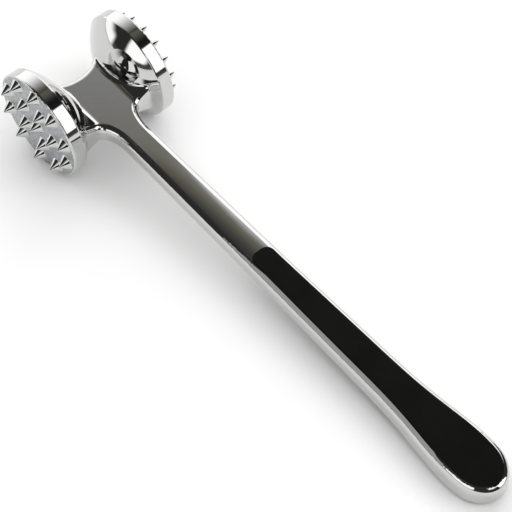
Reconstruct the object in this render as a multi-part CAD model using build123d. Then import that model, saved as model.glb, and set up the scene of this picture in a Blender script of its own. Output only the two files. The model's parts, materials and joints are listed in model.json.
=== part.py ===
"""Meat mallet: a one-piece die casting with two spiked striking discs and a flat handle with bonded inlays.

The object is drawn in a design frame: origin at the centre of the head, X along the head's axis from the
coarse disc to the fine disc, the handle along -Y, and Z out of the handle's broad upper face. It is then laid
down as it rests on a table, on both disc rims and the tip of the handle. Millimetres.
"""

from math import asin, atan2, cos, degrees, hypot, radians, sin, tan
import os

from build123d import *

# striking discs
DISC_RADIUS = 22.5
HEAD_LENGTH = 49.5  # from one striking face to the other, without the spikes
RIM_WIDTH = 5.6
RIM_ROUNDING = 0.8
DOME_SAG = 9.9  # how far the back of a disc bulges towards the middle of the head

# spikes
SPIKE_HEIGHT = 4.0  # to the rounded tip
SPIKE_TIP_RADIUS = 0.25
SPIKE_ROOT = 0.5  # how deep a spike is sunk in its disc before the two are joined
SPIKE_FLARE = 0.5  # radius of the hollow rounding at a spike's foot
COARSE_SPIKE_RADIUS = 3.3
COARSE_RINGS = ((1, 0.0, 0.0), (5, 9.4, 0.0), (10, 18.0, 18.0))  # count, ring radius, first angle
FINE_SPIKE_RADIUS = 2.1
FINE_RINGS = ((1, 0.0, 0.0), (5, 6.2, 0.0), (11, 12.3, 0.0), (16, 18.4, 5.0))

# web and handle, one plate
HALF_THICKNESS = (  # half the thickness, and distance from the head's axis
    (4.4, 34.0),
    (4.3, 100.0),
    (4.4, 130.0),
    (4.65, 155.0),
    (5.05, 180.0),
    (5.3, 205.0),
)
EDGE_ROUNDING = 2.6
WEB_BACK = 5.9  # from the head's axis to the middle of the web's hollow back edge
WEB_BACK_RADIUS = 16.0
WEB_BACK_END = 12.0  # half-width of the hollow back edge
WEB_ROOT = 17.0  # the web runs this far into each disc
WEB_FRONT = 18.6  # from the head's axis to the web's front edge
WEB_FLAT = 7.7  # half-width of the web's flat part
WEB_BEND = 5.0  # radius of the hollow bend that starts there
WEB_SLOPE = 24.0  # degrees by which the web's faces then spread apart towards the discs
WEB_BLEND = 2.5  # fillet between the web and the discs
FLARE_START = 12.0  # where the web's front edge starts to turn into the handle
FLARE_MIDDLE = (7.2, 22.6)
HANDLE_SIDE = (  # half-width, and distance from the head's axis
    (5.9, 31.0),
    (6.3, 64.0),
    (6.6, 94.0),
    (7.0, 120.0),
    (7.6, 154.0),
    (8.8, 184.0),
    (10.7, 211.5),
)
HANDLE_LENGTH = 225.0  # from the head's axis to the handle's tip
TIP_POINTS = 4
SIDE_CUTS = 4  # edges that the curve round a side and the tip is cut into

ABOVE = 12.0  # a height clear of the whole handle

# grip inlays, their pockets and the adhesive films under them
INLAY_START = 99.0
INLAY_START_WIDTH = 4.75  # half-width, without the rounded corners
INLAY_END = 222.6
INLAY_LIP = 1.95  # width of the metal left beside an inlay
INLAY_CORNER = 3.4
INLAY_GAP = 0.06
POCKET_FLOOR = 2.4  # height above the handle's middle plane
BOND_THICKNESS = 0.15
BOND_INSET = 0.4
PEG_RADIUS = 1.5
PEG_LENGTH = 1.9
PEG_GAP = 0.1
PEG_PLACES = (117.0, 160.0, 203.0)


def arc_height(radius, x):
    """How far a circle of this radius has risen at a distance x from its lowest point."""
    return radius - (radius**2 - x**2) ** 0.5


def side_and_tip(sides, length):
    """Points down the right side, then round a half-elliptic tip from the last of them to x = 0."""
    width, start = sides[-1]
    depth = length - start
    angles = [radians(90 * step / TIP_POINTS) for step in range(1, TIP_POINTS)]
    tip = [(width * cos(angle), -start - depth * sin(angle)) for angle in angles]
    return [*[(half_width, -place) for half_width, place in sides], *tip, (0, -length)]


def down_and_up(points):
    """A smooth curve down the right side, round the tip and up the left side, cut into shorter edges."""
    left = [(-x, y) for x, y in reversed(points[:-1])]
    curve = Spline(*points, *left, tangents=((0, -1), (0, 1)))
    return [curve.trim(cut / SIDE_CUTS, (cut + 1) / SIDE_CUTS) for cut in range(SIDE_CUTS)]


def web_side(side):
    """One side of the web's outline, from its back edge to the start of the handle. side is 1 or -1."""
    back_end = (side * WEB_BACK_END, WEB_BACK + arc_height(WEB_BACK_RADIUS, WEB_BACK_END))
    front_end = (side * FLARE_START, -WEB_FRONT)
    root = Polyline(back_end, (side * WEB_ROOT, back_end[1]), (side * WEB_ROOT, -WEB_FRONT), front_end)
    flare_width, flare_y = FLARE_MIDDLE
    shank_width, shank_y = HANDLE_SIDE[0]
    flare = Spline(
        front_end,
        (side * flare_width, -flare_y),
        (side * shank_width, -shank_y),
        tangents=((-side, 0), (0, -1)),
    )
    return [*root.edges(), flare]


def handle_outline():
    """Plan outline of the web and handle."""
    back_end_y = WEB_BACK + arc_height(WEB_BACK_RADIUS, WEB_BACK_END)
    back = ThreePointArc((-WEB_BACK_END, back_end_y), (0, WEB_BACK), (WEB_BACK_END, back_end_y))
    handle = down_and_up(side_and_tip(HANDLE_SIDE, HANDLE_LENGTH))
    return make_face([back, *web_side(1), *handle, *web_side(-1)])


def web_section():
    """The web seen from the front: flat in the middle, thickening past a hollow bend towards each disc."""
    half = HALF_THICKNESS[0][0]
    slope = radians(WEB_SLOPE)
    bend_middle = (WEB_FLAT + WEB_BEND * sin(slope / 2), half + WEB_BEND * (1 - cos(slope / 2)))
    bend_end = (WEB_FLAT + WEB_BEND * sin(slope), half + WEB_BEND * (1 - cos(slope)))
    end = (WEB_ROOT, bend_end[1] + (WEB_ROOT - bend_end[0]) * tan(slope))
    bend = ThreePointArc((WEB_FLAT, half), bend_middle, bend_end)
    rest = Polyline(bend_end, end, (WEB_ROOT, 0), (0, 0), (0, half), (WEB_FLAT, half))
    quarter = make_face([bend, *rest.edges()])
    right = quarter + mirror(quarter, about=Plane.XZ)
    return right + mirror(right, about=Plane.YZ)


def broad_side(side):
    """The upper (side = 1) or lower (side = -1) broad face of the handle from the side, as local Y and Z."""
    swell_points = [(-place, side * half) for half, place in HALF_THICKNESS]
    swell = Spline(*swell_points, tangents=((-1, 0), (-1, 0)))
    level = Line(swell_points[-1], (-HANDLE_LENGTH - WEB_ROOT, swell_points[-1][1]))
    return [swell, level]


def side_profile():
    """The handle seen from the side, swelling towards the tip."""
    upper = broad_side(1)
    lower = broad_side(-1)
    ends = [Line(upper[0] @ 0, lower[0] @ 0), Line(upper[-1] @ 1, lower[-1] @ 1)]
    return make_face([*upper, *lower, *ends])


def web_and_handle():
    """The web and handle as one plate with rounded edges, before the discs join it."""
    outline = extrude(handle_outline(), ABOVE, both=True)
    web_length = HALF_THICKNESS[0][1]
    web_end = Plane(origin=(0, -web_length, 0), x_dir=(-1, 0, 0), z_dir=(0, 1, 0))
    web = outline & extrude(web_end * web_section(), web_length + 2 * WEB_ROOT)
    handle = outline & extrude(Plane.YZ * side_profile(), 2 * WEB_ROOT, both=True)
    plate = web + handle
    broad_faces = [face for face in plate.faces() if abs(face.normal_at().Z) > 0.8]
    edges = ShapeList(edge for face in broad_faces for edge in face.edges())
    rims = [edge for edge in edges if sum(edge.is_same(other) for other in edges) == 1]
    shown = [edge for edge in rims if abs(edge.center().X) < WEB_ROOT - 1]
    return fillet(shown, EDGE_ROUNDING)


def disc():
    """One striking disc without spikes: its face on the plane z = 0 looks up, and its domed back is below."""
    dome_radius = (DISC_RADIUS**2 + DOME_SAG**2) / (2 * DOME_SAG)
    apex = -RIM_WIDTH - DOME_SAG
    half_way = DISC_RADIUS / 2
    dome = ThreePointArc(
        (0, apex),
        (half_way, apex + arc_height(dome_radius, half_way)),
        (DISC_RADIUS, -RIM_WIDTH),
    )
    rest = Polyline((DISC_RADIUS, -RIM_WIDTH), (DISC_RADIUS, 0), (0, 0), (0, apex))
    solid = revolve(Plane.XZ * make_face([dome, *rest.edges()]), Axis.Z)
    rim = solid.faces().filter_by(GeomType.CYLINDER)
    rim_edges = [edge for edge in rim.edges() if edge.geom_type == GeomType.CIRCLE]
    return fillet(rim_edges, RIM_ROUNDING)


def spike(radius):
    """One spike on the plane z = 0, pointing up: a cone with a rounded tip and a hollow flare at its foot."""
    foot = Vector(radius, 0)
    tip_centre = Vector(0, SPIKE_HEIGHT - SPIKE_TIP_RADIUS)
    slope = atan2(tip_centre.Y, radius) + asin(SPIKE_TIP_RADIUS / (tip_centre - foot).length)
    flare_reach = SPIKE_FLARE * tan(slope / 2)
    flare_foot = foot + Vector(flare_reach, 0)
    flare_top = foot + Vector(-cos(slope), sin(slope)) * flare_reach
    flare_centre = flare_foot + Vector(0, SPIKE_FLARE)
    flare_middle = flare_centre + (foot - flare_centre).normalized() * SPIKE_FLARE
    tip_start = tip_centre + Vector(sin(slope), cos(slope)) * SPIKE_TIP_RADIUS
    tip_middle = tip_centre + Vector(sin(slope / 2), cos(slope / 2)) * SPIKE_TIP_RADIUS
    flare = ThreePointArc(flare_foot, flare_middle, flare_top)
    cone = Line(flare_top, tip_start)
    tip = ThreePointArc(tip_start, tip_middle, (0, SPIKE_HEIGHT))
    root = Polyline((0, SPIKE_HEIGHT), (0, -SPIKE_ROOT), (flare_foot.X, -SPIKE_ROOT), flare_foot)
    return revolve(Plane.XZ * make_face([flare, cone, tip, *root.edges()]), Axis.Z)


def spikes(radius, rings):
    """Rings of spikes on the plane z = 0."""
    one = spike(radius)
    placed = []
    for count, ring_radius, first_angle in rings:
        for step in range(count):
            angle = radians(first_angle + 360 * step / count)
            placed.append(Pos(ring_radius * cos(angle), ring_radius * sin(angle), 0) * one)
    return placed


def web_roots(blank):
    """The edges where the web meets the domed backs of the discs."""
    domes = blank.faces().filter_by(GeomType.SPHERE)
    return [edge for edge in domes.edges() if edge.length < DISC_RADIUS * 4 and not is_dome_seam(edge)]


def is_dome_seam(edge):
    """True for the line in the plane z = 0 along which a dome's surface closes on itself."""
    box = edge.bounding_box()
    return max(abs(box.min.Z), abs(box.max.Z)) < 0.001


def casting_without_pockets():
    """The discs, spikes, web and handle as one solid."""
    coarse_side = Plane(origin=(-HEAD_LENGTH / 2, 0, 0), x_dir=(0, -1, 0), z_dir=(-1, 0, 0))
    fine_side = Plane(origin=(HEAD_LENGTH / 2, 0, 0), x_dir=(0, -1, 0), z_dir=(1, 0, 0))
    blank = web_and_handle() + [coarse_side * disc(), fine_side * disc()]
    blank = fillet(web_roots(blank), WEB_BLEND)
    coarse_spikes = [coarse_side * one for one in spikes(COARSE_SPIKE_RADIUS, COARSE_RINGS)]
    fine_spikes = [fine_side * one for one in spikes(FINE_SPIKE_RADIUS, FINE_RINGS)]
    return blank + coarse_spikes + fine_spikes


def inlay_outline(inset):
    """Plan outline of a grip inlay's pocket, or of something smaller by inset that lies in it."""
    start = INLAY_START + inset
    start_width = INLAY_START_WIDTH - inset
    lip = INLAY_LIP + inset
    beside_handle = [(width - lip, place) for width, place in HANDLE_SIDE if place > INLAY_START]
    sides = down_and_up(side_and_tip([(start_width, start), *beside_handle], INLAY_END - inset))
    outline = make_face([*sides, Line((start_width, -start), (-start_width, -start))])
    corners = outline.vertices().filter_by_position(Axis.Y, -start - 0.01, -start + 0.01)
    return fillet(corners, INLAY_CORNER - inset)


def upright(outline, bottom, top):
    """A prism on a plan outline between two heights."""
    return extrude(Pos(0, 0, bottom) * outline, top - bottom)


def pegs(radius, length):
    """Upright cylinders that hang from the height of an inlay's underside."""
    one = Cylinder(radius, length, align=(Align.CENTER, Align.CENTER, Align.MAX))
    return [Pos(0, -place, POCKET_FLOOR + BOND_THICKNESS) * one for place in PEG_PLACES]


def upper_inlay(outside):
    """The black inlay in the upper face, with its locating pegs. Its top carries on the casting's surface."""
    block = upright(inlay_outline(INLAY_GAP), POCKET_FLOOR + BOND_THICKNESS, ABOVE)
    return (block & outside) + pegs(PEG_RADIUS, PEG_LENGTH + BOND_THICKNESS)


def upper_pocket():
    """What is cut from the casting for the upper inlay."""
    pocket = upright(inlay_outline(0), POCKET_FLOOR, ABOVE)
    return pocket + pegs(PEG_RADIUS + PEG_GAP, PEG_LENGTH + BOND_THICKNESS + PEG_GAP)


def upper_bond_film():
    """The adhesive film between the pocket's floor and the inlay, pierced for the pegs."""
    film = upright(inlay_outline(BOND_INSET), POCKET_FLOOR, POCKET_FLOOR + BOND_THICKNESS)
    return film - pegs(PEG_RADIUS + PEG_GAP, 2 * BOND_THICKNESS)


def underside(shape):
    """The same shape turned over to the lower face of the handle. Each such shape is symmetric about x = 0."""
    return Rot(0, 180, 0) * shape


def resting_place():
    """Where the design frame lies when the mallet rests on z = 0 with its box centred above the origin."""
    tip_round_y = HANDLE_LENGTH - EDGE_ROUNDING
    tip_round_z = HALF_THICKNESS[-1][0] - EDGE_ROUNDING
    reach = hypot(tip_round_y, tip_round_z)
    tilt = asin((DISC_RADIUS - EDGE_ROUNDING) / reach) - atan2(tip_round_z, tip_round_y)
    tip_reach = tip_round_y * cos(tilt) + tip_round_z * sin(tilt) + EDGE_ROUNDING
    return Pos(0, (tip_reach - DISC_RADIUS) / 2, DISC_RADIUS) * Rot(degrees(tilt), 0, 0)


def main():
    outside = casting_without_pockets()
    pocket = upper_pocket()
    inlay = upper_inlay(outside)
    film = upper_bond_film()
    pieces = {
        "mallet_casting": outside - [pocket, underside(pocket)],
        "upper_grip_inlay": inlay,
        "lower_grip_inlay": underside(inlay),
        "upper_bond_film": film,
        "lower_bond_film": underside(film),
    }
    place = resting_place()
    os.makedirs("parts", exist_ok=True)
    for name, piece in pieces.items():
        export_step(place * piece, f"parts/{name}.step")


main()
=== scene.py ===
import json
from functools import reduce
from math import cos, radians, sin

import bpy
from mathutils import Matrix, Vector

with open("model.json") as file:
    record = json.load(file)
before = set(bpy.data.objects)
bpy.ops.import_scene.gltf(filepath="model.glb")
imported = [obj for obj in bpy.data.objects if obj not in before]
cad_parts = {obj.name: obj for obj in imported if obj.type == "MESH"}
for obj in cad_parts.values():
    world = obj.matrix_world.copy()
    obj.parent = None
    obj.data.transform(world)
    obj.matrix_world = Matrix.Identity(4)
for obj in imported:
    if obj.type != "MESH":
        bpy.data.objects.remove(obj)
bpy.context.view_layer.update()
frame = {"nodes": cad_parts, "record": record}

MM = 0.001
WHITE = (1, 1, 1, 1)

# --- the design frame: head centre, head axis and upper face, read from the mounts ------------------------
mounts = {m["name"]: m for m in frame["record"]["mounts"]}
coarse_face = Vector(mounts["coarse_striking_face"]["pos_m"])
fine_face = Vector(mounts["fine_striking_face"]["pos_m"])
x_axis = (fine_face - coarse_face).normalized()
z_axis = Vector(mounts["web_upper_face"]["axis"]).normalized()
y_axis = z_axis.cross(x_axis)
DESIGN = Matrix((x_axis, y_axis, z_axis)).transposed().to_4x4()
DESIGN.translation = (coarse_face + fine_face) / 2
FACE = (fine_face - coarse_face).length / 2 / MM  # from the head's centre to a striking face, in millimetres

# --- camera, in the design frame --------------------------------------------------------------------------
CAMERA_AT = Vector((-256.3, -369.1, 609.3))  # millimetres
CAMERA_FORWARD = Vector((0.35844, 0.37918, -0.85308))
CAMERA_UP = Vector((0.55783, 0.64572, 0.52141))
LENS = 136.4
SENSOR = 36.0
VIEW_END = 20.0  # metres


def make_camera():
    data = bpy.data.cameras.new("photo_view")
    data.lens = LENS
    data.sensor_width = SENSOR
    data.clip_end = VIEW_END
    cam = bpy.data.objects.new("photo_view", data)
    right = CAMERA_FORWARD.cross(CAMERA_UP).normalized()
    up = right.cross(CAMERA_FORWARD)
    turn = Matrix((right, up, -CAMERA_FORWARD)).transposed().to_4x4()
    turn.translation = CAMERA_AT * MM
    cam.matrix_world = DESIGN @ turn
    bpy.context.scene.collection.objects.link(cam)
    bpy.context.scene.camera = cam


# --- a short way to write node trees ----------------------------------------------------------------------
class Nodes:
    """Adds nodes to a tree. An input may be a number, a colour, a vector or another node's output."""

    def __init__(self, tree):
        self.tree = tree

    def plug(self, socket, value):
        if isinstance(value, bpy.types.NodeSocket):
            self.tree.links.new(value, socket)
        else:
            socket.default_value = value

    def add(self, kind, settings=None, **inputs):
        node = self.tree.nodes.new(kind)
        for key, value in (settings or {}).items():
            setattr(node, key, value)
        for key, value in inputs.items():
            self.plug(node.inputs[key.replace("_", " ")], value)
        return node

    def math(self, operation, *values):
        node = self.add("ShaderNodeMath", {"operation": operation})
        for socket, value in zip(node.inputs, values):
            self.plug(socket, value)
        return node.outputs[0]

    def total(self, *terms):
        return reduce(lambda a, b: self.math("ADD", a, b), terms)

    def product(self, *factors):
        return reduce(lambda a, b: self.math("MULTIPLY", a, b), factors)

    def dot(self, vector, other):
        node = self.add("ShaderNodeVectorMath", {"operation": "DOT_PRODUCT"})
        self.plug(node.inputs[0], vector)
        self.plug(node.inputs[1], other)
        return node.outputs["Value"]

    def ramp(self, value, low, high, at_low=0.0, at_high=1.0):
        """A smooth step from at_low to at_high as value goes from low to high."""
        node = self.add("ShaderNodeMapRange", {"interpolation_type": "SMOOTHSTEP"})
        for socket, part in zip(node.inputs, (value, low, high, at_low, at_high)):
            self.plug(socket, part)
        return node.outputs[0]

    def mix(self, share, a, b, kind="FLOAT"):
        """A blend of two numbers."""
        node = self.add("ShaderNodeMix", {"data_type": kind}, Factor=share, A=a, B=b)
        return node.outputs["Result"]

    def tint(self, share, a, b):
        """A blend of two colours."""
        return self.mix(share, a, b, "RGBA")

    def noise(self, place, scale, detail, stretch=(1, 1, 1)):
        """Noise about 0.5. place is in millimetres and scale in waves per millimetre."""
        spread = self.add("ShaderNodeVectorMath", {"operation": "MULTIPLY"})
        self.plug(spread.inputs[0], place)
        self.plug(spread.inputs[1], stretch)
        node = self.add("ShaderNodeTexNoise", Vector=spread.outputs[0], Scale=scale, Detail=detail)
        return node.outputs[0]

    def design_place(self):
        """The shaded point in the design frame, in millimetres: its x, its y, and the whole vector."""
        here = self.add("ShaderNodeTexCoord").outputs["Object"]
        x, y, z = (self.along(here, axis) for axis in (x_axis, y_axis, z_axis))
        return x, y, self.add("ShaderNodeCombineXYZ", X=x, Y=y, Z=z).outputs[0]

    def along(self, here, axis):
        """How far here lies from the head's centre along a unit axis, in millimetres."""
        metres = self.math("SUBTRACT", self.dot(here, axis), DESIGN.translation.dot(axis))
        return self.math("DIVIDE", metres, MM)

    def bump(self, height):
        """The surface normal over a height in millimetres."""
        return self.add("ShaderNodeBump", Height=height, Distance=MM, Strength=1.0).outputs[0]


def new_material(name):
    material = bpy.data.materials.new(name)
    material.use_nodes = True
    return material, Nodes(material.node_tree), material.node_tree.nodes["Principled BSDF"]


# --- materials --------------------------------------------------------------------------------------------
CHROME = ((0.585, 0.59, 0.59, 1), (0.635, 0.63, 0.62, 1))
SATIN = ((0.30, 0.31, 0.325, 1), (0.51, 0.52, 0.535, 1))
GRIP_BLACK = ((0.0012, 0.0012, 0.0012, 1), (0.0032, 0.0032, 0.0028, 1))
ADHESIVE = ((0.42, 0.40, 0.34, 1), (0.60, 0.58, 0.52, 1))
FLOOR = ((0.88, 0.88, 0.88, 1), (0.90, 0.90, 0.90, 1))
MIRROR_ROUGHNESS = 0.02
FLOOR_ROUGHNESS = 0.9
GRIP_SPECULAR = 0.16
FLOOR_SPECULAR = 0.1
CROWN = 0.008  # the shank's broad faces fall by this many millimetres per square millimetre off the crown
CROWN_AT = 0.7  # the crown lies this many millimetres right of the middle
CROWN_ENDS = (-62.0, -30.0)  # the crown fades out between these places, from the shank to the web


def between_spikes(n, x):
    """1 on a striking face's flat and 0 on its spikes and on all the rest."""
    out = n.math("ABSOLUTE", x)
    past_rim = n.ramp(out, FACE - 0.04, FACE - 0.01)
    below_spikes = n.ramp(out, FACE + 0.03, FACE + 0.12, 1.0, 0.0)
    return n.product(past_rim, below_spikes)


def shank_crown(n, x, y):
    """The height of the shank's slight crown, in millimetres."""
    aside = n.math("SUBTRACT", x, CROWN_AT)
    on_shank = n.ramp(y, *CROWN_ENDS, 1.0, 0.0)
    return n.product(n.product(aside, aside), n.product(on_shank, -CROWN))


def chrome_material():
    """Mirror chrome on a polished casting, and satin between the spikes, where no buff reaches."""
    material, n, shader = new_material("polished_chrome")
    x, y, place = n.design_place()
    satin = between_spikes(n, x)
    grain = n.noise(place, 0.8, 4.0)
    cloud = n.noise(place, 0.12, 3.0)
    smudge = n.ramp(n.noise(place, 0.045, 4.0), 0.5, 0.72)
    scratch = n.ramp(n.noise(place, 1.0, 3.0, (2.4, 0.07, 2.4)), 0.66, 0.72)
    dull = n.tint(n.ramp(grain, 0.3, 0.7), *SATIN)
    n.plug(shader.inputs["Base Color"], n.tint(satin, n.tint(cloud, *CHROME), dull))
    shine = n.total(MIRROR_ROUGHNESS, n.product(smudge, 0.035), n.product(scratch, 0.06))
    n.plug(shader.inputs["Roughness"], n.mix(satin, shine, n.mix(grain, 0.28, 0.46)))
    shader.inputs["Metallic"].default_value = 1.0
    waves = n.product(n.noise(place, 0.16, 1.0), 0.010)
    pits = n.product(grain, satin, 0.05)
    n.plug(shader.inputs["Normal"], n.bump(n.total(shank_crown(n, x, y), waves, pits)))
    return material


def black_material():
    """Moulded black plastic with a fine spark-eroded grain and cloudy wear."""
    material, n, shader = new_material("grip_black")
    place = n.design_place()[-1]
    spark = n.noise(place, 2.6, 3.0)
    cloud = n.noise(place, 0.08, 3.0)
    n.plug(shader.inputs["Base Color"], n.tint(cloud, *GRIP_BLACK))
    n.plug(shader.inputs["Roughness"], n.total(n.mix(cloud, 0.24, 0.36), n.product(spark, 0.08)))
    n.plug(shader.inputs["Normal"], n.bump(n.product(spark, 0.012)))
    shader.inputs["Specular IOR Level"].default_value = GRIP_SPECULAR
    return material


def film_material():
    """Cured adhesive, with the faint marbling of a two-part mix."""
    material, n, shader = new_material("bond_adhesive")
    place = n.design_place()[-1]
    marble = n.noise(place, 0.3, 4.0, (1, 0.4, 1))
    n.plug(shader.inputs["Base Color"], n.tint(marble, *ADHESIVE))
    n.plug(shader.inputs["Roughness"], n.mix(marble, 0.45, 0.6))
    return material


def floor_material():
    """A plain pale table top. Its noise is in waves per metre."""
    material, n, shader = new_material("floor")
    cloud = n.noise(n.add("ShaderNodeTexCoord").outputs["Object"], 3.0, 4.0)
    n.plug(shader.inputs["Base Color"], n.tint(cloud, *FLOOR))
    shader.inputs["Roughness"].default_value = FLOOR_ROUGHNESS
    shader.inputs["Specular IOR Level"].default_value = FLOOR_SPECULAR
    return material


def glow_material(name, brightness):
    """Glows on the front and is clear from behind."""
    material = bpy.data.materials.new(name)
    material.use_nodes = True
    material.node_tree.nodes.clear()
    n = Nodes(material.node_tree)
    glow = n.add("ShaderNodeEmission", Strength=brightness)
    clear = n.add("ShaderNodeBsdfTransparent")
    sides = n.add("ShaderNodeMixShader", Fac=n.add("ShaderNodeNewGeometry").outputs["Backfacing"])
    n.plug(sides.inputs[1], glow.outputs[0])
    n.plug(sides.inputs[2], clear.outputs[0])
    n.add("ShaderNodeOutputMaterial", Surface=sides.outputs[0])
    return material


def dress_nodes():
    """Gives every CAD piece its material."""
    by_slot = {
        "polished_chrome": chrome_material(),
        "grip_black": black_material(),
        "bond_adhesive": film_material(),
    }
    for part in frame["record"]["subparts"]:
        piece = frame["nodes"][part["node"]]
        piece.data.materials.clear()
        piece.data.materials.append(by_slot[part["material_slot"]])


# --- stage ------------------------------------------------------------------------------------------------
# Softboxes and flats, painted on the far surroundings, each over the ones before it. Azimuth 0 is +Y and 90
# is +X. All but the brightness are in degrees: middle and half-width in azimuth, softness, lower edge,
# softness, upper edge, softness, brightness.
STUDIO = {
    "backdrop": (12, 42, 12, -20, 1, 44.6, 52, 1.6),
    "backdrop_low": (-38, 16, 8, -20, 1, 12, 10, 1.55),
    "right_flat": (64, 14, 6, -20, 1, 55, 12, 1.6),
    "front_box": (145, 21, 3, 9, 3, 57, 3, 1.9),
    "front_top": (185, 17, 6, 42, 4, 64, 6, 1.4),
    "left_box": (-94, 16, 7, 6, 4, 30, 12, 1.6),
}
ROOM = 0.035
SKIRTING = 0.10
SKIRTING_TOP = 8  # degrees
CEILING = (0.14, 0.012)  # by the backdrop, and towards the front
TO_FRONT = (-0.21, -0.98, 0.0)  # away from the middle of the backdrop
DIM_HUE = (1.03, 0.98, 0.79, 1)  # what is neither bright nor dark is slightly warm
FLOOR_SIZE = 6


def ceiling(n, view, up):
    """Where the ceiling shows, high up on the right past the backdrop, and its brightness."""
    forward = n.dot(view, TO_FRONT)
    high = n.ramp(up, radians(50), radians(66))
    right = n.ramp(n.dot(view, (1, 0, 0)), 0.0, 0.2)
    past_backdrop = n.ramp(forward, -0.35, -0.26)
    return n.product(high, right, past_backdrop), n.ramp(forward, -0.26, 0.15, *CEILING)


def softbox(n, view, up, middle, half, soft, low, low_soft, high, high_soft):
    """1 inside a box of the surroundings and 0 outside, with soft edges. All in degrees."""
    ahead = n.dot(view, (sin(radians(middle)), cos(radians(middle)), 0))
    aside = n.dot(view, (cos(radians(middle)), -sin(radians(middle)), 0))
    turn = n.math("ABSOLUTE", n.math("ARCTAN2", aside, ahead))
    across = n.ramp(turn, radians(half - soft / 2), radians(half + soft / 2), 1.0, 0.0)
    above = n.ramp(up, radians(low - low_soft / 2), radians(low + low_soft / 2))
    below = n.ramp(up, radians(high - high_soft / 2), radians(high + high_soft / 2), 1.0, 0.0)
    return n.product(across, n.product(above, below))


def paint_studio():
    """A dark room, with the softboxes and flats that the chrome shows."""
    world = bpy.data.worlds.new("studio")
    bpy.context.scene.world = world
    world.use_nodes = True
    world.node_tree.nodes.clear()
    n = Nodes(world.node_tree)
    view = n.add("ShaderNodeTexCoord").outputs["Generated"]
    up = n.math("ARCSINE", n.dot(view, (0, 0, 1)))
    walls = n.ramp(up, 0.0, radians(SKIRTING_TOP), SKIRTING, ROOM)
    overhead, ceiling_tone = ceiling(n, view, up)
    tone = n.mix(overhead, walls, ceiling_tone)
    for *shape, brightness in STUDIO.values():
        tone = n.mix(softbox(n, view, up, *shape), tone, brightness)
    dim = n.product(n.ramp(tone, 0.05, 0.12), n.ramp(tone, 0.17, 0.32, 1.0, 0.0))
    background = n.add("ShaderNodeBackground", Color=n.tint(dim, WHITE, DIM_HUE), Strength=tone)
    n.add("ShaderNodeOutputWorld", Surface=background.outputs[0])


def add_card(name, centre, facing, width, height, brightness):
    """An upright card that shows only in reflections, from the front. facing is its azimuth in degrees."""
    bpy.ops.mesh.primitive_plane_add(size=1, location=centre)
    card = bpy.context.object
    card.name = name
    card.rotation_euler = (radians(90), 0, radians(180 - facing))
    card.scale = (width, height, 1)
    card.data.materials.append(glow_material(name, brightness))
    card.visible_camera = False
    card.visible_shadow = False
    card.visible_diffuse = False


def add_lamp(name, location, size, energy):
    """A square lamp that shines on the origin and is not seen in the chrome."""
    data = bpy.data.lights.new(name, "AREA")
    data.shape = "SQUARE"
    data.size = size
    data.energy = energy
    lamp = bpy.data.objects.new(name, data)
    lamp.location = location
    lamp.rotation_euler = (-Vector(location)).to_track_quat("-Z", "Y").to_euler()
    lamp.visible_glossy = False
    lamp.visible_camera = False
    bpy.context.scene.collection.objects.link(lamp)


def make_stage():
    bpy.ops.mesh.primitive_plane_add(size=FLOOR_SIZE, location=(0, 0, 0))
    floor = bpy.context.object
    floor.name = "floor"
    floor.data.materials.append(floor_material())
    paint_studio()
    add_lamp("overhead", location=(0.1, 0.05, 1.6), size=3.0, energy=36)
    add_card("tip_card", centre=(-0.17, -0.13, 0.15), facing=90, width=0.13, height=0.2, brightness=1.5)
    add_card("lip_card", centre=(-0.36, 0.043, 0.26), facing=175, width=0.48, height=0.46, brightness=0.45)
    bpy.context.scene.view_settings.view_transform = "Standard"


make_camera()
dress_nodes()
make_stage()
